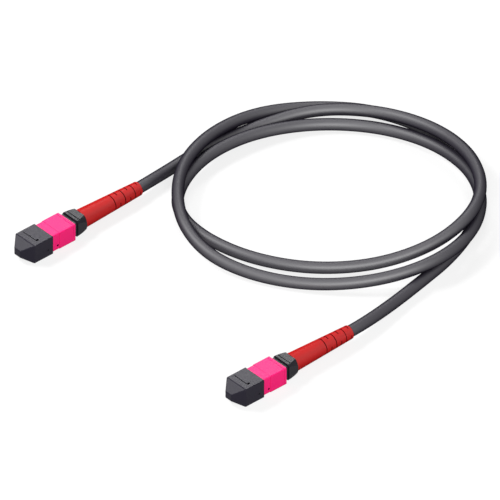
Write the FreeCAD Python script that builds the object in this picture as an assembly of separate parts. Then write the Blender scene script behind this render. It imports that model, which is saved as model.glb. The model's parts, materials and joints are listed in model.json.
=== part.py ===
import FreeCAD, Part
import math
import os

os.makedirs("parts", exist_ok=True)
V = FreeCAD.Vector

# Millimetres. Z is up, the floor is Z = 0, and both plugs lie along Y with their noses towards -Y.

# Cable
CABLE_DIAMETER = 5.5
ARC_SHARE = 0.45
PLUG_SPACING = 138.5
AXIS_HEIGHT = 4.75
MOUTH_Y = 35.15

# Strain relief boot
BOOT_LENGTH = 34.2
BOOT_FRONT_DIAMETER = 9.0
BOOT_REAR_DIAMETER = 6.5
BOOT_LIP_RADIUS = 0.35
BOOT_BORE_CLEARANCE = 0.05
SLIT_ROWS = 6
SLIT_PITCH = 2.95
SLIT_WIDTH = 0.45
SLIT_LONG_SPAN = 155.0
SLIT_SHORT_SPAN = 120.0
SLIT_ROLL = 42.0
SLIT_FLOOR = 0.3
SLIT_END_RING = 1.5

# Rear collar with its push block and crimp post
COLLAR_LENGTH = 5.2
COLLAR_WIDTH = 10.4
COLLAR_HEIGHT = 8.6
COLLAR_FRONT_RADIUS = 6.1
COLLAR_SHOULDER = 0.8
COLLAR_RIB_LENGTH = 1.1
COLLAR_RIB_RISE = 0.45
PUSH_LENGTH = 6.35
POST_LENGTH = 9.9
POST_WALL = 1.0
POST_DIAMETER = 5.4

# Crimp ring
RING_LENGTH = 7.0
RING_WALL = 0.6
RING_SETBACK = 1.5

# Coupling sleeve
SLEEVE_TRAVEL = 2.0
SLEEVE_STOP_GAP = 0.2
SLEEVE_LENGTH = 13.2
SLEEVE_WIDTH = 11.8
SLEEVE_HEIGHT = 8.8
SLEEVE_SIDE_WALL = 0.55
SLEEVE_EDGE = 0.5
SLEEVE_WAIST_LENGTH = 4.1
SLEEVE_WAIST_STEP = 0.22
SLEEVE_WAIST_DROP = 0.1
SLEEVE_LIP = 1.2
SLEEVE_LIP_GROOVE = 0.2
SLEEVE_LIP_DEPTH = 0.12
SLEEVE_HOLE_DIAMETER = 1.0
SLEEVE_HOLE_DROP = 2.0
GRIP_COUNT = 4
GRIP_START = 1.3
GRIP_PITCH = 1.7
GRIP_RADIUS = 1.2
GRIP_DEPTH = 0.18
HOOK_GAP = 0.7
LUG_LENGTH = 1.0

# Coupling springs
COUPLING_SPRING_DIAMETER = 1.2
COUPLING_SPRING_WIRE = 0.2
COUPLING_SPRING_TURNS = 5.0

# Inner housing
HOUSING_WIDTH = 9.0
HOUSING_HEIGHT = 6.2
HOUSING_REACH = 6.3
HOUSING_CORNER = 0.4
RAIL_LENGTH = 2.6
NECK_WIDTH = 9.4
NECK_HEIGHT = 7.0
EAR_LENGTH = 1.5
KEY_WIDTH = 3.2
KEY_RISE = 0.6
KEY_LENGTH = 5.4

# Ferrule, its boot and the pin clamp
FERRULE_WIDTH = 6.4
FERRULE_HEIGHT = 2.5
FERRULE_LENGTH = 8.0
FERRULE_PROUD = 0.5
FERRULE_TRAVEL = 0.8
FLANGE_WIDTH = 6.9
FLANGE_HEIGHT = 3.0
FLANGE_LENGTH = 2.0
GUIDE_HOLE_DIAMETER = 0.7
GUIDE_HOLE_SPACING = 4.6
WINDOW_WIDTH = 2.6
WINDOW_LENGTH = 2.2
WINDOW_DEPTH = 0.9
CLAMP_LENGTH = 2.0
FERRULE_BOOT_WIDTH = 4.2
FERRULE_BOOT_HEIGHT = 1.8
FERRULE_BOOT_LENGTH = 3.0
RIBBON_WIDTH = 3.1
RIBBON_HEIGHT = 0.32

# Ferrule spring, an oval coil
FERRULE_SPRING_WIDTH = 6.6
FERRULE_SPRING_HEIGHT = 3.3
FERRULE_SPRING_WIRE = 0.5
FERRULE_SPRING_TURNS = 4
FERRULE_SPRING_END = 0.4

# Dust cap
CAP_WIDTH = 12.6
CAP_HEIGHT = 9.5
CAP_LENGTH = 10.6
CAP_EDGE = 0.25
NOSE_LENGTH = 4.7
NOSE_WIDTH = 3.8
NOSE_HEIGHT = 3.4
CAP_SEAM = 0.2
CAP_DEPTH = 1.0
CAP_SLIT_SETBACK = 7.6
CAP_SLIT_LENGTH = 8.2
CAP_SLIT_MARGIN = 1.2
CAP_SLIT_WIDTH = 0.35
CAP_SLIT_DEPTH = 0.6
CAP_NOTCH_LENGTH = 1.6
CAP_NOTCH_WIDTH = 1.0
CAP_DIMPLE_DIAMETER = 1.0
CAP_DIMPLE_DEPTH = 0.2
CAP_DIMPLE_SETBACK = 2.9
CAP_DIMPLE_DROP = 1.2

# Clearances
SLIDE = 0.1
SPRING_ROOM = 0.3
SEAT = 0.05
FIT = 0.03

# Stations along Y, from the boot's mouth forwards
BOOT_FRONT = MOUTH_Y - BOOT_LENGTH
COLLAR_FRONT = BOOT_FRONT - COLLAR_LENGTH
SLEEVE_REAR = COLLAR_FRONT - SLEEVE_TRAVEL - SLEEVE_STOP_GAP
SLEEVE_FRONT = SLEEVE_REAR - SLEEVE_LENGTH
CAP_REAR = SLEEVE_FRONT - CAP_SEAM
CAP_SHOULDER = CAP_REAR - CAP_LENGTH
NOSE_TIP = CAP_SHOULDER - NOSE_LENGTH
HOUSING_FRONT = SLEEVE_FRONT - HOUSING_REACH
FERRULE_FRONT = HOUSING_FRONT - FERRULE_PROUD
FERRULE_REAR = FERRULE_FRONT + FERRULE_LENGTH
FLANGE_FRONT = FERRULE_REAR - FLANGE_LENGTH
CLAMP_REAR = FERRULE_REAR + CLAMP_LENGTH
PUSH_FRONT = COLLAR_FRONT - PUSH_LENGTH
POST_REAR = BOOT_FRONT + POST_LENGTH
LUG_FRONT = SLEEVE_FRONT + RAIL_LENGTH
LUG_REAR = LUG_FRONT + LUG_LENGTH
EAR_REAR = SLEEVE_REAR - SLIDE
EAR_FRONT = EAR_REAR - EAR_LENGTH

# Shared widths
CAVITY_WIDTH = FLANGE_WIDTH + 2 * SLIDE
CAVITY_HEIGHT = FLANGE_HEIGHT + 2 * SPRING_ROOM
SLEEVE_INNER_WIDTH = SLEEVE_WIDTH - 2 * SLEEVE_SIDE_WALL
SPRING_CHANNEL = COUPLING_SPRING_DIAMETER + SLIDE
RECESS_WIDTH = SLEEVE_INNER_WIDTH - 2 * SPRING_CHANNEL
RING_INNER_DIAMETER = POST_DIAMETER + 2 * FIT
RING_OUTER_DIAMETER = RING_INNER_DIAMETER + 2 * RING_WALL

# The cable's way from plug B, by hand: out of the boot and along the floor to the loops
TAIL_B = [
    (69.25, 35.15, 4.75),
    (69.25, 50.0, 4.3),
    (63.5, 68.5, 3.0),
    (60.4, 85.8, 2.75),
    (56.8, 102.9, 2.75),
    (50.0, 120.8, 2.75),
]

# The loops are ovals about one centre: at each equal step, the drift across the long axis and the height
LOOP_CENTRE = (-10.4, 93.9)
LOOP_TURN = 48.5
LOOP_LONG = 67.3
LOOP_SHORT = 59.1
LOOP_STEP = 24.0
LOOPS = [
    (-4.0, 2.75),
    (1.5, 2.75),
    (5.5, 2.75),
    (8.0, 2.75),
    (8.6, 2.75),
    (8.0, 2.75),
    (5.5, 2.75),
    (1.0, 2.75),
    (-2.0, 2.75),
    (-3.5, 2.75),
    (-3.5, 2.75),
    (-3.8, 2.75),
    (-6.4, 5.2),
    (-11.0, 9.0),
    (-11.0, 8.6),
    (-9.5, 8.6),
    (-9.0, 8.1),
    (-5.4, 4.8),
    (-3.5, 2.75),
    (-3.5, 2.75),
    (-4.4, 4.0),
    (-4.8, 7.8),
    (-2.4, 8.8),
    (0.0, 8.8),
    (1.6, 8.2),
    (5.6, 4.6),
    (8.1, 2.75),
    (7.2, 3.8),
    (1.5, 9.2),
    (-4.0, 14.2),
    (-6.8, 14.8),
    (-5.4, 14.2),
    (-1.0, 10.2),
    (2.6, 6.8),
    (3.0, 6.2),
    (2.0, 7.8),
]

# Over the first loop and into plug A
TAIL_A = [
    (-74.6, 69.0, 8.8),
    (-69.25, 50.0, 5.6),
    (-69.25, 35.15, 4.75),
]


def loop_point(angle, drift, height):
    """Point of an oval loop whose centre drifts across its long axis."""
    along = LOOP_LONG * math.cos(math.radians(angle))
    across = LOOP_SHORT * math.sin(math.radians(angle)) + drift
    turn = math.radians(LOOP_TURN)
    x = LOOP_CENTRE[0] + along * math.cos(turn) - across * math.sin(turn)
    y = LOOP_CENTRE[1] + along * math.sin(turn) + across * math.cos(turn)
    return V(x, y, height)


def cable_route():
    """Route points from plug B's boot to plug A's boot."""
    points = [V(*p) for p in TAIL_B]
    points += [loop_point(n * LOOP_STEP, *row) for n, row in enumerate(LOOPS)]
    points += [V(*p) for p in TAIL_A]
    return points


def arc_path(points):
    """Straight runs joined by tangent arcs as large as the runs allow."""
    edges = []
    radii = []
    start = points[0]
    for before, corner, after in zip(points, points[1:], points[2:]):
        back = before - corner
        ahead = after - corner
        reach = ARC_SHARE * min(back.Length, ahead.Length)
        turn = math.pi - back.getAngle(ahead)
        radius = reach / math.tan(turn / 2)
        radii.append(radius)
        back.normalize()
        ahead.normalize()
        arc_start = corner + back * reach
        arc_end = corner + ahead * reach
        inward = back + ahead
        inward.normalize()
        arc_middle = corner + inward * (radius / math.cos(turn / 2) - radius)
        edges.append(Part.LineSegment(start, arc_start).toShape())
        edges.append(Part.Arc(arc_start, arc_middle, arc_end).toShape())
        start = arc_end
    edges.append(Part.LineSegment(start, points[-1]).toShape())
    return Part.Wire(edges), radii


def tube(path, start, direction, diameter):
    """Round solid swept along a path."""
    section = Part.Wire(Part.makeCircle(diameter / 2, start, direction))
    return path.makePipeShell([section], True, False)


def block(width, height, y0, y1, x=0.0, z=0.0):
    """Box from y0 to y1, centred on x and z."""
    return Part.makeBox(width, y1 - y0, height, V(x - width / 2, y0, z - height / 2))


def rod(diameter, y0, y1, x=0.0, z=0.0):
    """Cylinder along Y."""
    return Part.makeCylinder(diameter / 2, y1 - y0, V(x, y0, z), V(0, 1, 0))


def round_long_edges(shape, radius):
    """Fillet the edges that run along Y."""
    edges = [e for e in shape.Edges if abs(e.tangentAt(e.FirstParameter).y) > 0.99]
    return shape.makeFillet(radius, edges)


def rectangle(width, height, y):
    """Closed rectangular wire across Y."""
    w = width / 2
    h = height / 2
    return Part.makePolygon([V(-w, y, -h), V(w, y, -h), V(w, y, h), V(-w, y, h), V(-w, y, -h)])


def dust_cap():
    """Box with a nose that tapers on four sides, hollow for the housing and its key."""
    body = block(CAP_WIDTH, CAP_HEIGHT, CAP_SHOULDER, CAP_REAR)
    tip_x = NOSE_WIDTH / 2
    tip_z = NOSE_HEIGHT / 2
    base_x = CAP_WIDTH / 2
    base_z = CAP_HEIGHT / 2
    nose = Part.makeWedge(
        -tip_x, NOSE_TIP, -tip_z, -base_z, -base_x, tip_x, CAP_SHOULDER, tip_z, base_z, base_x
    )
    cap = body.fuse(nose).removeSplitter()
    cap = cap.makeChamfer(CAP_EDGE, [e for e in cap.Edges if e.BoundBox.YMin < CAP_REAR - FIT])
    floor = FERRULE_FRONT - CAP_DEPTH
    cap = cap.cut(block(HOUSING_WIDTH + 2 * SLIDE, HOUSING_HEIGHT + 2 * SLIDE, floor, CAP_REAR))
    key_top = HOUSING_HEIGHT / 2 + KEY_RISE + SLIDE
    cap = cap.cut(block(KEY_WIDTH + 2 * SLIDE, key_top, floor, CAP_REAR, z=key_top / 2))
    return cap.cut(cap_marks())


def cap_marks():
    """Slit across the top with a short notch at its end, and a dimple in the side."""
    top = CAP_HEIGHT / 2
    y = CAP_REAR - CAP_SLIT_SETBACK
    slit_x = CAP_SLIT_MARGIN + CAP_SLIT_LENGTH / 2 - CAP_WIDTH / 2
    slit = block(CAP_SLIT_LENGTH, 2 * CAP_SLIT_DEPTH, y, y + CAP_SLIT_WIDTH, slit_x, top)
    notch_x = slit_x + CAP_SLIT_LENGTH / 2 + CAP_NOTCH_WIDTH / 2
    notch = block(CAP_NOTCH_WIDTH, 2 * CAP_SLIT_DEPTH, y, y + CAP_NOTCH_LENGTH, notch_x, top)
    dimple_at = V(CAP_WIDTH / 2 - CAP_DIMPLE_DEPTH, CAP_REAR - CAP_DIMPLE_SETBACK, -CAP_DIMPLE_DROP)
    dimple = Part.makeCylinder(CAP_DIMPLE_DIAMETER / 2, 2 * CAP_DIMPLE_DEPTH, dimple_at, V(1, 0, 0))
    return slit.fuse([notch, dimple])


def coupling_sleeve():
    """Sliding sleeve: waisted front, lip at the rear, and lugs that push the coupling springs."""
    waist_end = SLEEVE_FRONT + SLEEVE_WAIST_LENGTH
    waist_width = SLEEVE_WIDTH - 2 * SLEEVE_WAIST_STEP
    waist_height = SLEEVE_HEIGHT - 2 * SLEEVE_WAIST_DROP
    front = round_long_edges(block(waist_width, waist_height, SLEEVE_FRONT, waist_end), SLEEVE_EDGE)
    rear = round_long_edges(block(SLEEVE_WIDTH, SLEEVE_HEIGHT, waist_end, SLEEVE_REAR), SLEEVE_EDGE)
    sleeve = front.fuse(rear)
    inner_height = HOUSING_HEIGHT + 2 * SLIDE
    hook_width = HOUSING_WIDTH + 2 * HOOK_GAP
    lug_width = RECESS_WIDTH + 2 * SLIDE
    sleeve = sleeve.cut(block(hook_width, inner_height, SLEEVE_FRONT, LUG_FRONT))
    sleeve = sleeve.cut(block(lug_width, inner_height, LUG_FRONT, LUG_REAR))
    sleeve = sleeve.cut(block(SLEEVE_INNER_WIDTH, inner_height, LUG_REAR, SLEEVE_REAR))
    neck_front = EAR_REAR - SLEEVE_TRAVEL
    sleeve = sleeve.cut(block(NECK_WIDTH + 2 * SLIDE, NECK_HEIGHT + 2 * SLIDE, neck_front, SLEEVE_REAR))
    groove_y = SLEEVE_REAR - SLEEVE_LIP
    outside = block(2 * SLEEVE_WIDTH, 2 * SLEEVE_HEIGHT, groove_y - SLEEVE_LIP_GROOVE, groove_y)
    core_width = SLEEVE_WIDTH - 2 * SLEEVE_LIP_DEPTH
    core_height = SLEEVE_HEIGHT - 2 * SLEEVE_LIP_DEPTH
    core = block(core_width, core_height, groove_y - SLEEVE_LIP_GROOVE, groove_y)
    sleeve = sleeve.cut(outside.cut(core))
    hole_at = V(RECESS_WIDTH / 2, waist_end - SLEEVE_HOLE_DIAMETER, -SLEEVE_HOLE_DROP)
    hole = Part.makeCylinder(SLEEVE_HOLE_DIAMETER / 2, SLEEVE_WIDTH / 2, hole_at, V(1, 0, 0))
    sleeve = sleeve.cut(hole)
    grip_z = GRIP_DEPTH - GRIP_RADIUS - SLEEVE_HEIGHT / 2
    for n in range(GRIP_COUNT):
        grip_at = V(-SLEEVE_WIDTH, waist_end + GRIP_START + n * GRIP_PITCH, grip_z)
        sleeve = sleeve.cut(Part.makeCylinder(GRIP_RADIUS, 2 * SLEEVE_WIDTH, grip_at, V(1, 0, 0)))
    return sleeve.removeSplitter()


def inner_housing():
    """Plug housing with its key, side recesses for the coupling springs and a stepped bore."""
    front = round_long_edges(
        block(HOUSING_WIDTH, HOUSING_HEIGHT, HOUSING_FRONT, LUG_FRONT - SEAT), HOUSING_CORNER
    )
    middle = block(RECESS_WIDTH, HOUSING_HEIGHT, LUG_FRONT - SEAT, EAR_FRONT)
    ears = block(SLEEVE_INNER_WIDTH - 2 * SLIDE, HOUSING_HEIGHT, EAR_FRONT, EAR_REAR)
    neck = round_long_edges(block(NECK_WIDTH, NECK_HEIGHT, EAR_REAR, COLLAR_FRONT), HOUSING_CORNER)
    key_top = HOUSING_HEIGHT / 2 + KEY_RISE
    key = block(KEY_WIDTH, key_top, HOUSING_FRONT, HOUSING_FRONT + KEY_LENGTH, z=key_top / 2)
    housing = front.fuse([middle, ears, neck, key])
    housing = housing.cut(
        block(FERRULE_WIDTH + 2 * SLIDE, FERRULE_HEIGHT + 2 * SLIDE, HOUSING_FRONT, FLANGE_FRONT - SEAT)
    )
    housing = housing.cut(block(CAVITY_WIDTH, CAVITY_HEIGHT, FLANGE_FRONT - SEAT, COLLAR_FRONT))
    return housing.removeSplitter()


def ferrule():
    """Flat ferrule with a rear flange, two guide holes and the window above its fibres."""
    body = block(FERRULE_WIDTH, FERRULE_HEIGHT, FERRULE_FRONT, FERRULE_REAR)
    flange = block(FLANGE_WIDTH, FLANGE_HEIGHT, FLANGE_FRONT, FERRULE_REAR)
    solid = body.fuse(flange).removeSplitter()
    for side in (-1, 1):
        x = side * GUIDE_HOLE_SPACING / 2
        solid = solid.cut(rod(GUIDE_HOLE_DIAMETER, FERRULE_FRONT, FERRULE_REAR, x))
    window_rear = FLANGE_FRONT - SLIDE
    window_top = FERRULE_HEIGHT / 2
    window = block(WINDOW_WIDTH, 2 * WINDOW_DEPTH, window_rear - WINDOW_LENGTH, window_rear, z=window_top)
    return solid.cut(window)


def pin_clamp():
    """Plate behind the ferrule that the spring bears on, open for the ferrule's boot."""
    plate = block(FLANGE_WIDTH, FLANGE_HEIGHT, FERRULE_REAR, CLAMP_REAR)
    opening_width = FERRULE_BOOT_WIDTH + 2 * FIT
    opening_height = FERRULE_BOOT_HEIGHT + 2 * FIT
    return plate.cut(block(opening_width, opening_height, FERRULE_REAR, CLAMP_REAR))


def ferrule_boot():
    """Soft sleeve round the ribbon where it enters the ferrule."""
    boot = block(FERRULE_BOOT_WIDTH, FERRULE_BOOT_HEIGHT, FERRULE_REAR, FERRULE_REAR + FERRULE_BOOT_LENGTH)
    boot = round_long_edges(boot, FERRULE_BOOT_HEIGHT / 4)
    return boot.cut(ribbon_room(FERRULE_REAR, FERRULE_REAR + FERRULE_BOOT_LENGTH))


def ribbon_room(y0, y1):
    """Space that the fibre ribbon runs through."""
    return block(RIBBON_WIDTH + 2 * FIT, RIBBON_HEIGHT + 2 * FIT, y0, y1)


def fibre_ribbon():
    """Flat ribbon of fibres from the ferrule to the end of the cable."""
    return block(RIBBON_WIDTH, RIBBON_HEIGHT, FERRULE_REAR, POST_REAR)


def coupling_springs():
    """Round coil on each side, between the sleeve's lug and the housing's ear."""
    y0 = LUG_REAR + SEAT
    length = EAR_FRONT - SEAT - y0
    radius = (COUPLING_SPRING_DIAMETER - COUPLING_SPRING_WIRE) / 2
    rise = length - COUPLING_SPRING_WIRE
    helix = Part.makeHelix(rise / COUPLING_SPRING_TURNS, rise, radius)
    section = rectangle(COUPLING_SPRING_WIRE, COUPLING_SPRING_WIRE, 0)
    section.translate(V(radius, 0, 0))
    coil = Part.Wire(helix.Edges).makePipeShell([section], True, True)
    coil.rotate(V(0, 0, 0), V(1, 0, 0), -90)
    x = SLEEVE_INNER_WIDTH / 2 - SPRING_CHANNEL / 2
    coils = []
    for side in (-1, 1):
        copy = coil.copy()
        copy.translate(V(side * x, y0 + COUPLING_SPRING_WIRE / 2, 0))
        coils.append(copy)
    return Part.makeCompound(coils)


def ferrule_spring():
    """Oval coil: a rectangle's corners climbing turn by turn, rounded as far as they go."""
    y0 = CLAMP_REAR + SEAT + FERRULE_SPRING_END
    y1 = PUSH_FRONT - SEAT - FERRULE_SPRING_END
    half_width = (FERRULE_SPRING_WIDTH - FERRULE_SPRING_WIRE) / 2
    half_height = (FERRULE_SPRING_HEIGHT - FERRULE_SPRING_WIRE) / 2
    corners = [(1, -1), (1, 1), (-1, 1), (-1, -1)]
    last = 4 * FERRULE_SPRING_TURNS
    points = [V(0, y0, -half_height)]
    for n in range(last):
        x, z = corners[n % 4]
        points.append(V(x * half_width, y0 + (y1 - y0) * (n + 0.5) / last, z * half_height))
    points.append(V(0, y1, -half_height))
    path = arc_path(points)[0]
    section = rectangle(FERRULE_SPRING_WIRE, FERRULE_SPRING_WIRE, 0)
    section.rotate(V(0, 0, 0), V(0, 0, 1), 90)
    section.translate(points[0])
    return path.makePipeShell([section], True, False)


def rear_collar():
    """Push block inside the housing, domed collar with cross ribs, and the crimp post behind it."""
    slab = block(COLLAR_WIDTH, COLLAR_HEIGHT, COLLAR_FRONT, BOOT_FRONT)
    rear_radius = BOOT_FRONT_DIAMETER / 2 + COLLAR_SHOULDER
    middle = (COLLAR_FRONT + BOOT_FRONT) / 2
    rim = COLLAR_FRONT_RADIUS
    bulge = (2 * rim + rear_radius) / 3
    side = Part.Arc(V(rim, COLLAR_FRONT, 0), V(bulge, middle, 0), V(rear_radius, BOOT_FRONT, 0))
    outline = Part.Wire(
        [
            Part.LineSegment(V(0, COLLAR_FRONT, 0), V(rim, COLLAR_FRONT, 0)).toShape(),
            side.toShape(),
            Part.LineSegment(V(rear_radius, BOOT_FRONT, 0), V(0, BOOT_FRONT, 0)).toShape(),
            Part.LineSegment(V(0, BOOT_FRONT, 0), V(0, COLLAR_FRONT, 0)).toShape(),
        ]
    )
    dome = Part.Face(outline).revolve(V(0, 0, 0), V(0, 1, 0), 360)
    collar = slab.common(dome)
    rib_front = COLLAR_FRONT + COLLAR_RIB_LENGTH
    notch = block(2 * COLLAR_WIDTH, COLLAR_RIB_RISE, rib_front, rib_front + COLLAR_RIB_LENGTH / 2)
    for z in (-1, 1):
        groove = notch.copy()
        groove.translate(V(0, 0, z * COLLAR_HEIGHT / 2))
        collar = collar.cut(groove)
    push = block(CAVITY_WIDTH - 2 * FIT, CAVITY_HEIGHT - 2 * FIT, PUSH_FRONT, COLLAR_FRONT)
    post = rod(POST_DIAMETER, BOOT_FRONT, POST_REAR)
    collar = collar.fuse([push, post])
    bore = rod(POST_DIAMETER - 2 * POST_WALL, COLLAR_FRONT, POST_REAR)
    collar = collar.cut(bore)
    return collar.cut(ribbon_room(PUSH_FRONT, COLLAR_FRONT)).removeSplitter()


def crimp_ring():
    """Metal ring over the crimp post."""
    y0 = BOOT_FRONT + RING_SETBACK
    y1 = y0 + RING_LENGTH
    return rod(RING_OUTER_DIAMETER, y0, y1).cut(rod(RING_INNER_DIAMETER, y0, y1))


def slit(y, turn, span):
    """Part-ring cut round the boot, centred at an angle about its axis."""
    outer = Part.makeCylinder(BOOT_FRONT_DIAMETER, SLIT_WIDTH, V(0, 0, 0), V(0, 0, 1), span)
    core = Part.makeCylinder(CABLE_DIAMETER / 2 + SLIT_FLOOR, SLIT_WIDTH)
    ring = outer.cut(core)
    ring.rotate(V(0, 0, 0), V(0, 0, 1), turn - span / 2)
    ring.rotate(V(0, 0, 0), V(1, 0, 0), 90)
    ring.translate(V(0, y + SLIT_WIDTH / 2, 0))
    return ring


def strain_relief_boot():
    """Tapered boot with staggered slits, bored for the crimp ring and the cable."""
    front = BOOT_FRONT_DIAMETER / 2
    rear = BOOT_REAR_DIAMETER / 2
    boot = Part.makeCone(front, rear, BOOT_LENGTH, V(0, BOOT_FRONT, 0), V(0, 1, 0))
    lip = [e for e in boot.Edges if e.BoundBox.YMin > MOUTH_Y - FIT]
    boot = boot.makeFillet(BOOT_LIP_RADIUS, lip)
    boot = boot.cut(rod(RING_OUTER_DIAMETER + 2 * FIT, BOOT_FRONT, POST_REAR))
    boot = boot.cut(rod(CABLE_DIAMETER + 2 * BOOT_BORE_CLEARANCE, POST_REAR, MOUTH_Y))
    last = MOUTH_Y - SLIT_END_RING
    for row in range(SLIT_ROWS):
        y = last - row * SLIT_PITCH
        short = row % 2 == 0
        span = SLIT_SHORT_SPAN if short else SLIT_LONG_SPAN
        first_turn = SLIT_ROLL + 90 if short else SLIT_ROLL
        for turn in (first_turn, first_turn + 180):
            boot = boot.cut(slit(y, turn, span))
    return boot


def cable():
    """Cable jacket: the tube along its route, with a straight end inside each boot."""
    points = cable_route()
    path, radii = arc_path(points)
    print("bend radii", [round(r, 1) for r in radii])
    jacket = tube(path, points[0], points[1] - points[0], CABLE_DIAMETER)
    section = math.pi * CABLE_DIAMETER ** 2 / 4
    share = jacket.Volume / (section * path.Length)
    print("cable length", round(path.Length, 1), "volume share", round(share, 4))
    ends = []
    for side in (-1, 1):
        ends.append(rod(CABLE_DIAMETER, POST_REAR, MOUTH_Y, side * PLUG_SPACING / 2, AXIS_HEIGHT))
    return jacket.fuse(ends).removeSplitter()


PIECES = {
    "dust_cap": dust_cap,
    "coupling_sleeve": coupling_sleeve,
    "inner_housing": inner_housing,
    "ferrule": ferrule,
    "pin_clamp": pin_clamp,
    "ferrule_boot": ferrule_boot,
    "fibre_ribbon": fibre_ribbon,
    "coupling_springs": coupling_springs,
    "ferrule_spring": ferrule_spring,
    "rear_collar": rear_collar,
    "crimp_ring": crimp_ring,
    "strain_relief_boot": strain_relief_boot,
}

cable().exportStep("parts/cable.step")
for name, make in PIECES.items():
    piece = make()
    for end, side in (("a", -1), ("b", 1)):
        copy = piece.copy()
        copy.translate(V(side * PLUG_SPACING / 2, 0, AXIS_HEIGHT))
        copy.exportStep("parts/" + name + "_" + end + ".step")
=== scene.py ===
import json
import math

import bpy
import numpy as np
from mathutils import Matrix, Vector


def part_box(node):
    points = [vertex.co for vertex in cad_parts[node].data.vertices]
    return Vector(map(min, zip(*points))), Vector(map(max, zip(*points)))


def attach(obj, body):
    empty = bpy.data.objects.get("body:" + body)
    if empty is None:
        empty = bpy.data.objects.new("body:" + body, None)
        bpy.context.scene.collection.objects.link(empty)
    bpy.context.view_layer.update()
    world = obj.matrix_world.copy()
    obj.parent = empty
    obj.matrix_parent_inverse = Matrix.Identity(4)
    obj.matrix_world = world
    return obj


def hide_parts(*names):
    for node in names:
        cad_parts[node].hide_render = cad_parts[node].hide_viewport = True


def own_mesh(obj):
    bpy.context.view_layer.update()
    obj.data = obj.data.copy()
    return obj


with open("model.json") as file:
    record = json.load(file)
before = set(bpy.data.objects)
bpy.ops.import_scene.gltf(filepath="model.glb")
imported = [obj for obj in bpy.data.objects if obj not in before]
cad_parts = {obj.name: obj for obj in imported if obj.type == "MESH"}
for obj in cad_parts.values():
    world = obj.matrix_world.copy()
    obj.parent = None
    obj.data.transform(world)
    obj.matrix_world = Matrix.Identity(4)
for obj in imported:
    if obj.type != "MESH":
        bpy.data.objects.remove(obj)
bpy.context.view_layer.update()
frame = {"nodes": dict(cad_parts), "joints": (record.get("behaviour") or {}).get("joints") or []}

bl_info = {
    "name": "Fibre patch cable",
    "version": (1, 0, 0),
    "blender": (4, 5, 0),
    "location": "3D View > Sidebar > Patch cable",
    "description": "Dresses a coiled fibre patch cable with a capped push-pull plug at each end",
    "category": "Object",
}

MM = 0.001
SHARP_EDGE = math.radians(50)
ROOT = "cord_and_plugs"

# The two plugs, and the side of the middle that each lies on
ENDS = {"a": -1, "b": 1}

# Places read from the frame, at plug B
BOOT_LOW, BOOT_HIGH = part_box("strain_relief_boot_b")
PLUG_X = (BOOT_LOW.x + BOOT_HIGH.x) / 2
AXIS_Z = (BOOT_LOW.z + BOOT_HIGH.z) / 2
SLEEVE_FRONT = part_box("coupling_sleeve_b")[0].y
FERRULE_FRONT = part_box("ferrule_b")[0].y

# The grid of the cable's curve
CURVE_ORDER = 3
CURVE_STEPS = 10
ROUND_STEPS = 7

# The cable's way from plug B, in millimetres: out of the boot and along the floor to the loops
TAIL_B = [
    (69.25, 27.0, 4.75),
    (69.25, 35.15, 4.75),
    (68.6, 44.0, 4.5),
    (66.6, 56.0, 3.7),
    (63.7, 70.0, 2.9),
    (60.4, 85.8, 2.75),
    (56.8, 102.9, 2.75),
    (50.0, 120.8, 2.75),
]

# The loops are ovals about one centre: at each equal step, the drift across the long axis and the height
LOOP_CENTRE = (-10.4, 93.9)
LOOP_TURN = 48.5
LOOP_LONG = 67.3
LOOP_SHORT = 59.1
LOOP_STEP = 24.0
LOOPS = [
    (-4.0, 2.75),
    (1.5, 2.75),
    (5.5, 2.75),
    (8.0, 2.75),
    (8.4, 2.75),
    (6.2, 6.4),
    (1.8, 9.2),
    (-0.6, 9.3),
    (-7.6, 8.6),
    (-7.4, 5.2),
    (-4.0, 2.75),
    (-3.8, 2.75),
    (-6.4, 5.2),
    (-11.0, 9.0),
    (-11.0, 8.6),
    (-9.5, 8.6),
    (-9.0, 8.1),
    (-5.4, 4.8),
    (-3.5, 2.75),
    (-3.8, 2.75),
    (-6.0, 4.7),
    (-6.8, 5.3),
    (-4.4, 2.9),
    (2.0, 2.75),
    (6.6, 2.75),
    (8.0, 2.75),
    (8.1, 2.75),
    (7.2, 3.8),
    (1.5, 9.2),
    (-4.0, 14.2),
    (-6.8, 14.8),
    (-5.4, 14.2),
    (-1.0, 10.2),
    (2.6, 6.8),
    (2.4, 6.0),
    (-0.1, 3.1),
]

# Under the other turns and into plug A
TAIL_A = [
    (-74.0, 75.0, 2.75),
    (-72.2, 56.0, 3.0),
    (-69.9, 43.0, 4.6),
    (-69.25, 35.15, 4.75),
    (-69.25, 27.0, 4.75),
]


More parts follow.
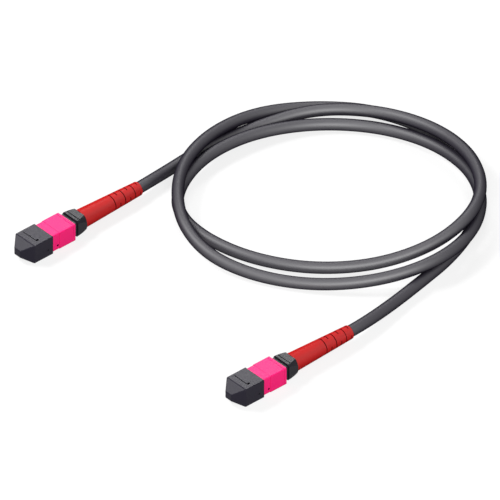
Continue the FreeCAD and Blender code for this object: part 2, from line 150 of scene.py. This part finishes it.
class CableSettings(bpy.types.PropertyGroup):
    """Sizes and colours that a user would change."""

    cable_diameter: bpy.props.FloatProperty(
        name="Cable diameter",
        description="Outer diameter of the jacket",
        default=0.0055,
        unit="LENGTH",
    )
    jacket_colour: bpy.props.FloatVectorProperty(
        name="Jacket",
        description="Colour of the cable's jacket",
        default=(0.0095, 0.0075, 0.0145),
        subtype="COLOR",
    )
    cap_colour: bpy.props.FloatVectorProperty(
        name="Dust cap",
        description="Colour of the dust caps",
        default=(0.02, 0.018, 0.028),
        subtype="COLOR",
    )
    sleeve_colour: bpy.props.FloatVectorProperty(
        name="Sleeve",
        description="Colour of the coupling sleeves",
        default=(0.96, 0.02, 0.19),
        subtype="COLOR",
    )
    collar_colour: bpy.props.FloatVectorProperty(
        name="Collar",
        description="Colour of the rear collars",
        default=(0.012, 0.0115, 0.016),
        subtype="COLOR",
    )
    boot_colour: bpy.props.FloatVectorProperty(
        name="Boot",
        description="Colour of the strain relief boots",
        default=(0.47, 0.015, 0.015),
        subtype="COLOR",
    )
    floor_colour: bpy.props.FloatVectorProperty(
        name="Floor",
        description="Colour of the floor",
        default=(1.0, 1.0, 1.0),
        subtype="COLOR",
    )
    view_azimuth: bpy.props.FloatProperty(
        name="Azimuth",
        description="Turn of the camera about the object",
        default=math.radians(48.5),
        unit="ROTATION",
    )
    view_elevation: bpy.props.FloatProperty(
        name="Elevation",
        description="Height of the camera as an angle",
        default=math.radians(37.0),
        unit="ROTATION",
    )
    view_width: bpy.props.FloatProperty(
        name="View width",
        description="Width of the picture at the object",
        default=0.2174,
        unit="LENGTH",
    )


def settings():
    """The user's choices."""
    return bpy.context.scene.patch_cable


class Value:
    """A socket that takes part in sums; each operator adds one Math node."""

    def __init__(self, nodes, socket):
        self.nodes = nodes
        self.socket = socket

    def math(self, operation, first, second=0.0):
        return self.nodes.add("ShaderNodeMath", {"operation": operation}, {0: first, 1: second})

    def __add__(self, other):
        return self.math("ADD", self, other)

    def __radd__(self, other):
        return self.math("ADD", other, self)

    def __sub__(self, other):
        return self.math("SUBTRACT", self, other)

    def __rsub__(self, other):
        return self.math("SUBTRACT", other, self)

    def __mul__(self, other):
        return self.math("MULTIPLY", self, other)

    def __rmul__(self, other):
        return self.math("MULTIPLY", other, self)

    def __truediv__(self, other):
        return self.math("DIVIDE", self, other)

    def __pow__(self, other):
        return self.math("POWER", self, other)

    def __lt__(self, other):
        return self.math("LESS_THAN", self, other)

    def __abs__(self):
        return self.math("ABSOLUTE", self)


# The places of a Mix node's sockets for colours
MIX_SHARE = 0
MIX_FIRST = 6
MIX_SECOND = 7
MIX_RESULT = 2


class Nodes:
    """A node tree, grown one node at a time by add()."""

    def __init__(self, tree):
        self.tree = tree

    def add(self, kind, settings=None, inputs=None, output=0):
        """Add one node: its settings first, then the values or links of its sockets."""
        node = self.tree.nodes.new(kind)
        for key, value in (settings or {}).items():
            if key == "stops":
                self.set_stops(node.color_ramp, value)
            else:
                setattr(node, key, value)
        for key, value in (inputs or {}).items():
            self.feed(node.inputs[key], value)
        return Value(self, node.outputs[output])

    def set_stops(self, ramp, colours):
        """Equal bands of colour."""
        ramp.interpolation = "CONSTANT"
        while len(ramp.elements) < len(colours):
            ramp.elements.new(1.0)
        for n, colour in enumerate(colours):
            ramp.elements[n].position = n / len(colours)
            ramp.elements[n].color = (*colour, 1.0)

    def feed(self, socket, value):
        """Link a Value to a socket, or set a plain number or colour on it."""
        if isinstance(value, Value):
            self.tree.links.new(value.socket, socket)
        else:
            socket.default_value = value

    def blend(self, share, first, second):
        """Mix two colours."""
        inputs = {MIX_SHARE: share, MIX_FIRST: first, MIX_SECOND: second}
        return self.add("ShaderNodeMix", {"data_type": "RGBA"}, inputs, MIX_RESULT)

    def background_rays(self):
        """1 for what the camera sees directly, in gloss or through glass, 0 for light that spreads."""
        camera = self.add("ShaderNodeLightPath", output="Is Camera Ray")
        path = camera.socket.node.outputs
        return camera + Value(self, path["Is Glossy Ray"]) + Value(self, path["Is Transmission Ray"])


# Samples that a shader takes of its surroundings, at edges and in recesses
SHADER_SAMPLES = 6


class Finish(Nodes):
    """One procedural material, whose look comes from one Principled shader."""

    def __init__(self, name, **constants):
        self.material = bpy.data.materials.new(name)
        self.material.use_nodes = True
        super().__init__(self.material.node_tree)
        self.tree.nodes.clear()
        self.shader = self.tree.nodes.new("ShaderNodeBsdfPrincipled")
        output = self.tree.nodes.new("ShaderNodeOutputMaterial")
        self.tree.links.new(self.shader.outputs["BSDF"], output.inputs["Surface"])
        for socket, value in constants.items():
            self.shader.inputs[socket.replace("_", " ")].default_value = value

    def surface(self, inputs):
        """Feed the Principled shader."""
        for socket, value in inputs.items():
            self.feed(self.shader.inputs[socket], value)

    def place(self):
        """Position on the object, in metres."""
        return self.add("ShaderNodeTexCoord", output="Object")

    def across(self):
        """Position across a plug from its axis, in metres, the same at both ends."""
        x = self.add("ShaderNodeSeparateXYZ", {}, {"Vector": self.place()}, "X")
        return abs(x) - PLUG_X

    def facing(self):
        """1 where a surface is seen straight on, towards 0 at grazing angles."""
        return 1 - self.add("ShaderNodeLayerWeight", {}, {"Blend": 0.5}, "Facing")

    def noise(self, size, detail=2.0):
        """Cloudy pattern from 0 to 1 whose lumps are about this many metres across."""
        inputs = {"Vector": self.place(), "Scale": 1 / size, "Detail": detail}
        return self.add("ShaderNodeTexNoise", {}, inputs, "Fac")

    def clouded(self, colour, size, detail, change):
        """The colour in clouds of this size, darker and lighter by up to this share."""
        return self.blend(self.noise(size, detail), shade(colour, 1 - change), shade(colour, 1 + change))

    def openness(self, reach):
        """1 on open faces, towards 0 deep in slits, holes and grooves narrower than this reach."""
        limits = {"samples": SHADER_SAMPLES, "only_local": True}
        return self.add("ShaderNodeAmbientOcclusion", limits, {"Distance": reach}, "AO")

    def relief(self, height, depth, edge=0.0):
        """Bump of this depth in metres, over normals that are rounded at edges by this radius."""
        inputs = {"Height": height, "Distance": depth, "Strength": 1.0}
        if edge:
            inputs["Normal"] = self.add("ShaderNodeBevel", {"samples": SHADER_SAMPLES}, {"Radius": edge})
        return self.add("ShaderNodeBump", {}, inputs)


def shade(colour, factor):
    """The colour made lighter or darker, with full alpha."""
    return tuple(min(1.0, factor * part) for part in colour) + (1.0,)


def varied(middle, swing, pattern):
    """A value that swings about its middle with a pattern from 0 to 1."""
    return middle + swing * (pattern - 0.5)


# Moulded pieces: their clouds, the grain of the mould, the reach of the painted shade in recesses, and soft
# edges
CLOUD_SIZE = 6 * MM
MOULD_GRAIN = 0.18 * MM
MOULD_DEPTH = 0.006 * MM
MOULD_SWING = 0.12
RECESS_SHADE_REACH = 0.9 * MM
SOFT_EDGE = 0.12 * MM


def moulded(name, colour, roughness, cloud=0.06, recess=0.08, **constants):
    """Moulded plastic or rubber: clouded colour, painted shade that darkens recesses, fine spark-eroded
    grain, softened edges.
    """
    finish = Finish(name, **constants)
    grain = finish.noise(MOULD_GRAIN)
    body = finish.clouded(colour, CLOUD_SIZE, detail=3.0, change=cloud)
    open_faces = finish.openness(RECESS_SHADE_REACH)
    finish.surface({
        # Painted shade: the colour is darkened in slits, holes and grooves, where shade falls.
        "Base Color": finish.blend(open_faces * open_faces, shade(colour, recess), body),
        "Roughness": varied(roughness, MOULD_SWING, grain),
        "Normal": finish.relief(grain, MOULD_DEPTH, SOFT_EDGE),
    })
    return finish


# Metal pieces: the grain that drawing leaves, and its darkest and lightest shade
DRAWN_GRAIN = 0.12 * MM
DRAWN_DEPTH = 0.002 * MM
DRAWN_SWING = 0.2
DRAWN_DARK = 0.86
DRAWN_LIGHT = 1.06


def metal(name, colour, roughness):
    """Plain metal with fine drawn grain."""
    finish = Finish(name, Metallic=1.0)
    grain = finish.noise(DRAWN_GRAIN, detail=3.0)
    finish.surface({
        "Base Color": finish.blend(grain, shade(colour, DRAWN_DARK), shade(colour, DRAWN_LIGHT)),
        "Roughness": varied(roughness, DRAWN_SWING, grain),
        "Normal": finish.relief(grain, DRAWN_DEPTH),
    })
    return finish


def dress(names, finish):
    """Give CAD nodes one material."""
    for name in names:
        mesh = frame["nodes"][name].data
        mesh.materials.clear()
        mesh.materials.append(finish.material)


def both(name):
    """A node's names at the two ends."""
    return [name + "_" + end for end in ENDS]


def swept(rings):
    """Closed surface through rings of points: a grid between the rings and a flat face at each end."""
    count, steps = rings.shape[:2]
    index = np.arange(count * steps).reshape(count, steps)
    beside = np.roll(index, -1, axis=1)
    grid = np.stack([index[:-1], beside[:-1], beside[1:], index[1:]], axis=-1).reshape(-1, 4)
    ends = [index[0, ::-1].tolist(), index[-1].tolist()]
    return rings.reshape(-1, 3), grid.tolist() + ends


def joined(surfaces):
    """Several surfaces as one."""
    points = []
    faces = []
    for more_points, more_faces in surfaces:
        faces += [[len(points) + corner for corner in face] for face in more_faces]
        points += more_points.tolist()
    return np.array(points), faces


def new_mesh(name, points, faces, finish):
    """Object at the origin from points and lists of corners, smooth apart from its sharp edges."""
    mesh = bpy.data.meshes.new(name)
    mesh.from_pydata(points.tolist(), [], faces)
    mesh.materials.append(finish.material)
    mesh.shade_smooth()
    mesh.set_sharp_from_angle(angle=SHARP_EDGE)
    piece = bpy.data.objects.new(name, mesh)
    bpy.context.scene.collection.objects.link(piece)
    return piece


def loop_point(angle, drift, height):
    """Point of an oval loop whose centre drifts across its long axis."""
    along = LOOP_LONG * math.cos(math.radians(angle))
    across = LOOP_SHORT * math.sin(math.radians(angle)) + drift
    turn = math.radians(LOOP_TURN)
    x = LOOP_CENTRE[0] + along * math.cos(turn) - across * math.sin(turn)
    y = LOOP_CENTRE[1] + along * math.sin(turn) + across * math.cos(turn)
    return (x, y, height)


def cable_route():
    """Control points from inside plug B's boot to inside plug A's boot, in metres."""
    turns = [loop_point(n * LOOP_STEP, *row) for n, row in enumerate(LOOPS)]
    return MM * np.array(TAIL_B + turns + TAIL_A)


class PATCH_OT_cable(bpy.types.Operator):
    """Lay the cable along its route"""

    bl_idname = "patch.cable"
    bl_label = "Cable"

    def execute(self, context):
        choice = settings()
        points = cable_route()
        curve = bpy.data.curves.new("cable_jacket", "CURVE")
        curve.dimensions = "3D"
        curve.resolution_u = CURVE_STEPS
        curve.bevel_depth = choice.cable_diameter / 2
        curve.bevel_resolution = ROUND_STEPS
        curve.use_fill_caps = True
        spline = curve.splines.new("NURBS")
        spline.points.add(len(points) - 1)
        spline.points.foreach_set("co", np.column_stack([points, np.ones(len(points))]).ravel())
        spline.order_u = CURVE_ORDER
        spline.use_endpoint_u = True
        cable = bpy.data.objects.new("cable_jacket", curve)
        context.scene.collection.objects.link(cable)
        curve.materials.append(jacket_finish(choice.jacket_colour).material)
        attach(cable, ROOT)
        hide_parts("cable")
        return {"FINISHED"}


# The jacket: its clouds, its skin, and how fast its gloss fades away from where it is seen straight on
JACKET_CLOUD_SIZE = 9 * MM
JACKET_CLOUD = 0.06
SKIN_GRAIN = 0.3 * MM
SKIN_DEPTH = 0.008 * MM
SKIN_ROUGHNESS = 0.5
SKIN_SWING = 0.1
JACKET_FADE = 2.1


def jacket_finish(colour):
    """Satin extruded jacket: faint clouding, a fine skin, and gloss that fades towards grazing angles."""
    finish = Finish("satin_jacket", Specular_IOR_Level=0.0, Coat_Roughness=0.58, Coat_IOR=2.1)
    skin = finish.noise(SKIN_GRAIN, detail=3.0)
    finish.surface({
        "Base Color": finish.clouded(colour, JACKET_CLOUD_SIZE, detail=2.0, change=JACKET_CLOUD),
        "Roughness": varied(SKIN_ROUGHNESS, SKIN_SWING, skin),
        "Coat Weight": finish.facing()**JACKET_FADE,
        "Normal": finish.relief(skin, SKIN_DEPTH),
    })
    return finish


class PATCH_OT_caps(bpy.types.Operator):
    """Finish the dust caps"""

    bl_idname = "patch.caps"
    bl_label = "Dust caps"

    def execute(self, context):
        finish = moulded("cap_plastic", settings().cap_colour, roughness=0.32, Specular_IOR_Level=0.063)
        dress(both("dust_cap"), finish)
        return {"FINISHED"}


# The small hole in a sleeve's side: its middle from the sleeve's front and from the axis, its radius, and the
# share of the colour left in the painted shade inside it
HOLE_SETBACK = 3.1 * MM
HOLE_DROP = 2.0 * MM
HOLE_RADIUS = 0.51 * MM
HOLE_PAINTED_SHADE = 0.01

# A wall whose normal leans sideways by less than this share is the hole's own
HOLE_WALL = 0.5


def sleeve_finish(colour):
    """Pink plastic, with painted shade in the small hole: its wall near the hole's axis, which doesn't face
    sideways, is painted near black.
    """
    look = {"roughness": 0.34, "cloud": 0.04, "recess": 0.75, "Specular_IOR_Level": 0.04}
    finish = moulded("sleeve_plastic", colour, **look)
    middle = (0.0, SLEEVE_FRONT + HOLE_SETBACK, AXIS_Z - HOLE_DROP)
    both_sides = {0: finish.place(), 1: (0.0, 1.0, 1.0)}
    flat = finish.add("ShaderNodeVectorMath", {"operation": "MULTIPLY"}, both_sides)
    reach = finish.add("ShaderNodeVectorMath", {"operation": "DISTANCE"}, {0: flat, 1: middle}, "Value")
    normal = finish.add("ShaderNodeNewGeometry", output="True Normal")
    sideways = abs(finish.add("ShaderNodeSeparateXYZ", {}, {0: normal}, "X"))
    # Painted shade: the hole's wall is painted near black, standing in for the shade inside the hole.
    hole = (reach < HOLE_RADIUS) * (sideways < HOLE_WALL)
    plain = finish.shader.inputs["Base Color"].links[0].from_socket
    finish.surface({"Base Color": finish.blend(hole, Value(finish, plain), shade(colour, HOLE_PAINTED_SHADE))})
    return finish


class PATCH_OT_sleeves(bpy.types.Operator):
    """Finish the coupling sleeves"""

    bl_idname = "patch.sleeves"
    bl_label = "Coupling sleeves"

    def execute(self, context):
        dress(both("coupling_sleeve"), sleeve_finish(settings().sleeve_colour))
        return {"FINISHED"}


# How dark the housings are beside the collars
HOUSING_SHADE = 0.85


class PATCH_OT_collars(bpy.types.Operator):
    """Finish the rear collars and the plug housings"""

    bl_idname = "patch.collars"
    bl_label = "Rear collars and housings"

    def execute(self, context):
        colour = settings().collar_colour
        darker = shade(colour, HOUSING_SHADE)[:3]
        look = {"roughness": 0.4, "Specular_IOR_Level": 0.14}
        dress(both("rear_collar"), moulded("collar_plastic", colour, **look))
        dress(both("inner_housing"), moulded("housing_plastic", darker, **look))
        return {"FINISHED"}


# The boots: how fast their gloss fades away from where it is seen straight on, and the ferrule boots' colour
BOOT_FADE = 6
FERRULE_BOOT_COLOUR = (0.05, 0.05, 0.05)


class PATCH_OT_boots(bpy.types.Operator):
    """Finish the strain relief boots and the ferrules' boots"""

    bl_idname = "patch.boots"
    bl_label = "Strain relief boots"

    def execute(self, context):
        sheen = {"Specular_IOR_Level": 0.0, "Coat_Roughness": 0.45, "Coat_IOR": 2.1}
        finish = moulded("boot_rubber", settings().boot_colour, roughness=0.55, cloud=0.05, **sheen)
        finish.surface({"Coat Weight": finish.facing()**BOOT_FADE})
        dress(both("strain_relief_boot"), finish)
        dress(both("ferrule_boot"), moulded("soft_boot", FERRULE_BOOT_COLOUR, roughness=0.6))
        return {"FINISHED"}


# Springs: the wire and the turns of each kind, and the grid of a coil
COUPLING_WIRE = 0.2 * MM
COUPLING_TURNS = 9
FERRULE_WIRE = 0.5 * MM
FERRULE_TURNS = 6
TURN_STEPS = 32
WIRE_STEPS = 10


def coil(low, high, wire, turns):
    """Round wire wound on an oval that fills a box, its first and last turns closed to one wire's pitch."""
    half_height = (high.z - low.z - wire) / 2
    slide = (high.x - low.x - wire) / 2 - half_height
    bend = math.pi * half_height
    lap = np.linspace(0, turns, turns * TURN_STEPS + 1)
    # In one turn, the bend's centre slides along the straights and rests in the bends
    knots = np.cumsum([0, slide, bend, 2 * slide, bend, slide])
    way = knots[-1] * (lap % 1)
    centre = np.interp(way, knots, [0, slide, slide, -slide, -slide, 0])
    turn = np.interp(way, knots, [-math.pi / 2] * 2 + [math.pi / 2] * 2 + [3 * math.pi / 2] * 2)
    rise = [low.y + wire / 2, low.y + 3 * wire / 2, high.y - 3 * wire / 2, high.y - wire / 2]
    out = np.stack([np.cos(turn), np.zeros_like(turn), np.sin(turn)], axis=-1)
    middle = half_height * out
    middle[:, 0] += (low.x + high.x) / 2 + centre
    middle[:, 1] += np.interp(lap, [0, 1, turns - 1, turns], rise)
    middle[:, 2] += (low.z + high.z) / 2
    along = np.gradient(middle, axis=0)
    side = np.cross(along / np.linalg.norm(along, axis=1, keepdims=True), out)
    angle = np.linspace(0, 2 * math.pi, WIRE_STEPS, endpoint=False)[:, None]
    return swept(middle[:, None] + wire / 2 * (np.cos(angle) * out[:, None] + np.sin(angle) * side[:, None]))


def coupling_coils(end):
    """The two round coils beside a plug's housing, one at each end of their node's box."""
    low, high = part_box("coupling_springs_" + end)
    diameter = high.z - low.z
    left = Vector((low.x + diameter, high.y, high.z))
    right = Vector((high.x - diameter, low.y, low.z))
    return joined(coil(*corners, COUPLING_WIRE, COUPLING_TURNS) for corners in ((low, left), (right, high)))


def stand_in(piece, node, joint):
    """Show a piece for a node, in the node's place and with a mesh of its own; the joint's travel is looked
    up but not applied.
    """
    low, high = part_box(node)
    travel = next(row["range_m"][1] for row in frame["joints"] if row["name"] == joint)
    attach(piece, ROOT)
    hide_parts(node)
    1 - travel / (high.y - low.y)
    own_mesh(piece)


# Colours of the metals
STEEL = (0.6, 0.6, 0.62)
BRASS = (0.72, 0.55, 0.28)


class PATCH_OT_metal(bpy.types.Operator):
    """Wind the springs and finish the clamps and crimp rings"""

    bl_idname = "patch.metal"
    bl_label = "Springs, clamps and crimp rings"

    def execute(self, context):
        steel = metal("spring_steel", STEEL, roughness=0.3)
        dress(both("pin_clamp"), steel)
        dress(both("crimp_ring"), metal("crimp_brass", BRASS, roughness=0.35))
        for end in ENDS:
            pair = new_mesh("coupling_coils_" + end, *coupling_coils(end), steel)
            stand_in(pair, "coupling_springs_" + end, "sleeve_slide_" + end)
            node = "ferrule_spring_" + end
            oval = new_mesh("ferrule_coil_" + end, *coil(*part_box(node), FERRULE_WIRE, FERRULE_TURNS), steel)
            stand_in(oval, node, "ferrule_slide_" + end)
        return {"FINISHED"}


# Fibre ends: how many, their pitch and radius, the height of their domes, and the grid of one dome
FIBRES = 12
FIBRE_PITCH = 0.25 * MM
FIBRE_RADIUS = 0.0625 * MM
FIBRE_DOME = 0.004 * MM
DOME_RINGS = 5
DOME_STEPS = 20
DOME_TIP = 0.04

# The core's share of a fibre's radius, and the colours of the glass and the ferrule
CORE_SHARE = 0.16
CORE = (0.9, 0.88, 0.75, 1.0)
CLADDING = (0.3, 0.32, 0.35, 1.0)
FERRULE_RESIN = (0.06, 0.06, 0.062)

# A fibre ribbon: its grooves, the steps of each ridge, its coat, and its bands in the usual order of colours
RIBBON_GROOVE = 0.08 * MM
RIDGE_STEPS = 8
RIBBON_GRAIN = 0.3 * MM
RIBBON_ROUGHNESS = 0.3
RIBBON_SWING = 0.2
RIBBON_BANDS = (
    (0.02, 0.12, 0.6),
    (0.9, 0.25, 0.02),
    (0.02, 0.35, 0.08),
    (0.18, 0.07, 0.02),
    (0.25, 0.28, 0.3),
    (0.85, 0.85, 0.85),
    (0.65, 0.02, 0.02),
    (0.01, 0.01, 0.01),
    (0.9, 0.65, 0.02),
    (0.2, 0.03, 0.4),
    (0.85, 0.3, 0.4),
    (0.1, 0.6, 0.65),
)


def fibre_domes(x):
    """Row of low domes on a ferrule's face: at radius r, each rises by dome height times 1 - r squared."""
    radii = np.linspace(1, DOME_TIP, DOME_RINGS)
    r, turn = np.meshgrid(radii, np.linspace(0, 2 * math.pi, DOME_STEPS, endpoint=False), indexing="ij")
    wide = FIBRE_RADIUS * r * np.cos(turn)
    front = FERRULE_FRONT - FIBRE_DOME * (1 - r**2)
    tall = AXIS_Z + FIBRE_RADIUS * r * np.sin(turn)
    middles = x + FIBRE_PITCH * (np.arange(FIBRES) - (FIBRES - 1) / 2)
    points, faces = joined(swept(np.stack([middle + wide, front, tall], axis=-1)) for middle in middles)
    return points, faces, np.tile(r.ravel(), FIBRES)


def ribbon_strip(low, high):
    """Flat strip that fills a box, with one ridge for each fibre on its top and underside."""
    share = np.linspace(0, 1, FIBRES * RIDGE_STEPS + 1)
    ridges = np.abs(np.sin(math.pi * FIBRES * share))
    x = low.x + (high.x - low.x) * share
    drop = RIBBON_GROOVE / 2 * (1 - ridges)
    top = np.stack([x, np.zeros_like(x), high.z - drop], axis=-1)
    underside = np.stack([x, np.zeros_like(x), low.z + drop], axis=-1)
    outline = np.concatenate([top, underside[::-1]])
    return swept(np.stack([outline + (0, y, 0) for y in (low.y, high.y)]))


def fibre_finish():
    """Cleaved glass: a pale core in grey cladding."""
    finish = Finish("fibre_glass", Roughness=0.12)
    radius = finish.add("ShaderNodeAttribute", {"attribute_name": "radius"}, output="Fac")
    finish.surface({"Base Color": finish.blend(radius < CORE_SHARE, CLADDING, CORE)})
    return finish


def ribbon_finish():
    """Clear-coated ribbon: one band of colour for each fibre."""
    finish = Finish("ribbon_bands", Coat_Weight=0.5)
    low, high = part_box("fibre_ribbon_b")
    share = finish.across() / (high.x - low.x) + 0.5
    finish.surface({
        "Base Color": finish.add("ShaderNodeValToRGB", {"stops": RIBBON_BANDS}, {"Fac": share}),
        "Roughness": varied(RIBBON_ROUGHNESS, RIBBON_SWING, finish.noise(RIBBON_GRAIN)),
    })
    return finish


class PATCH_OT_fibres(bpy.types.Operator):
    """Finish the ferrules, lay the ribbons and set the fibre ends in the ferrules' faces"""

    bl_idname = "patch.fibres"
    bl_label = "Ferrules, fibre ends and ribbons"

    def execute(self, context):
        dress(both("ferrule"), moulded("ferrule_resin", FERRULE_RESIN, roughness=0.35, cloud=0.12))
        bands = ribbon_finish()
        glass = fibre_finish()
        for end, side in ENDS.items():
            node = "fibre_ribbon_" + end
            strip = new_mesh("ribbon_strip_" + end, *ribbon_strip(*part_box(node)), bands)
            stand_in(strip, node, "ferrule_slide_" + end)
            points, faces, radius = fibre_domes(side * PLUG_X)
            row = new_mesh("fibre_ends_" + end, points, faces, glass)
            row.data.attributes.new("radius", "FLOAT", "POINT").data.foreach_set("value", radius)
            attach(row, "ferrule_" + end)
        return {"FINISHED"}


class PATCH_OT_stage(bpy.types.Operator):
    """Set the floor, the lamps, the world and the camera"""

    bl_idname = "patch.stage"
    bl_label = "Stage"

    def execute(self, context):
        lay_floor(settings().floor_colour)
        hang_lamps()
        light_world()
        place_camera(context.scene)
        context.scene.view_settings.view_transform = "Standard"
        return {"FINISHED"}


# The point that the camera and the lamps look at, and the lamps: place from there, width, watts
LOOK_AT = (-0.0084, 0.0462, 0.0)
LAMPS = {
    "key": ((0.67, -0.50, 0.55), 0.45, 8.6),
    "back": ((-0.60, 0.53, 0.60), 0.30, 4.8),
    "side": ((-0.60, -0.34, 0.73), 0.30, 7.8),
}
WORLD_FILL = (0.12, 0.12, 0.12, 1.0)
WHITE = (1.0, 1.0, 1.0, 1.0)
CAMERA_DISTANCE = 1.0

# The floor: its size, its drop below zero, its own glow to the camera, and the share that it throws back
FLOOR_SIZE = 3.0
FLOOR_DROP = 0.00005
FLOOR_GLOW = 0.76
FLOOR_BOUNCE = 0.3


def lay_floor(colour):
    """Flat square under the object, pale where it is seen and duller in the light it throws back."""
    finish = Finish("pale_floor", Roughness=0.9, Specular_IOR_Level=0.0, Emission_Strength=1.0)
    seen = finish.background_rays()
    finish.surface({
        "Base Color": finish.blend(seen, shade(colour, FLOOR_BOUNCE), shade(colour, 1 - FLOOR_GLOW)),
        "Emission Color": finish.blend(seen, shade(colour, 0.0), shade(colour, FLOOR_GLOW)),
    })
    half = FLOOR_SIZE / 2
    corners = np.array([(-half, -half), (half, -half), (half, half), (-half, half)])
    points = np.column_stack([corners, np.full(len(corners), -FLOOR_DROP)])
    floor = new_mesh("floor", points, [[0, 1, 2, 3]], finish)


def aim(thing, place):
    """Put a lamp or camera at a place, looking at the object."""
    thing.location = place
    away = thing.location - Vector(LOOK_AT)
    thing.rotation_euler = away.to_track_quat("Z", "Y").to_euler()


def hang_lamps():
    """Soft square lamps around the object."""
    for name, (offset, width, watts) in LAMPS.items():
        lamp = bpy.data.lights.new(name, "AREA")
        lamp.size = width
        lamp.energy = watts
        holder = bpy.data.objects.new(name, lamp)
        bpy.context.scene.collection.objects.link(holder)
        aim(holder, Vector(LOOK_AT) + Vector(offset))


def light_world():
    """White to the camera and in reflections, a dim even fill to everything else."""
    world = bpy.data.worlds.new("studio")
    bpy.context.scene.world = world
    world.use_nodes = True
    nodes = Nodes(world.node_tree)
    sky = nodes.blend(nodes.background_rays(), WORLD_FILL, WHITE)
    nodes.feed(world.node_tree.nodes["Background"].inputs["Color"], sky)


def place_camera(scene):
    """Parallel view from the front right, looking down."""
    choice = settings()
    camera = bpy.data.cameras.new("camera")
    camera.type = "ORTHO"
    camera.ortho_scale = choice.view_width
    holder = bpy.data.objects.new("camera", camera)
    scene.collection.objects.link(holder)
    flat = math.cos(choice.view_elevation)
    back = Vector((
        math.sin(choice.view_azimuth) * flat,
        -math.cos(choice.view_azimuth) * flat,
        math.sin(choice.view_elevation),
    ))
    aim(holder, Vector(LOOK_AT) + CAMERA_DISTANCE * back)
    scene.camera = holder


class PATCH_PT_panel(bpy.types.Panel):
    """Lists the pieces and their settings"""

    bl_label = "Patch cable"
    bl_idname = "PATCH_PT_panel"
    bl_space_type = "VIEW_3D"
    bl_region_type = "UI"
    bl_category = "Patch cable"

    def draw(self, context):
        for name in CableSettings.__annotations__:
            self.layout.prop(context.scene.patch_cable, name)
        for operator in OPERATORS:
            self.layout.operator(operator.bl_idname)


OPERATORS = (
    PATCH_OT_cable,
    PATCH_OT_caps,
    PATCH_OT_sleeves,
    PATCH_OT_collars,
    PATCH_OT_boots,
    PATCH_OT_metal,
    PATCH_OT_fibres,
    PATCH_OT_stage,
)
CLASSES = (CableSettings, *OPERATORS, PATCH_PT_panel)


def register():
    """Make the classes and the settings known to Blender."""
    for item in CLASSES:
        bpy.utils.register_class(item)
    bpy.types.Scene.patch_cable = bpy.props.PointerProperty(type=CableSettings)


def unregister():
    """Take the settings and the classes out again."""
    del bpy.types.Scene.patch_cable
    for item in reversed(CLASSES):
        bpy.utils.unregister_class(item)


def main():
    """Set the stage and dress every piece."""
    register()
    bpy.ops.patch.stage()
    bpy.ops.patch.cable()
    bpy.ops.patch.caps()
    bpy.ops.patch.sleeves()
    bpy.ops.patch.collars()
    bpy.ops.patch.boots()
    bpy.ops.patch.metal()
    bpy.ops.patch.fibres()


if __name__ == "__main__":
    main()
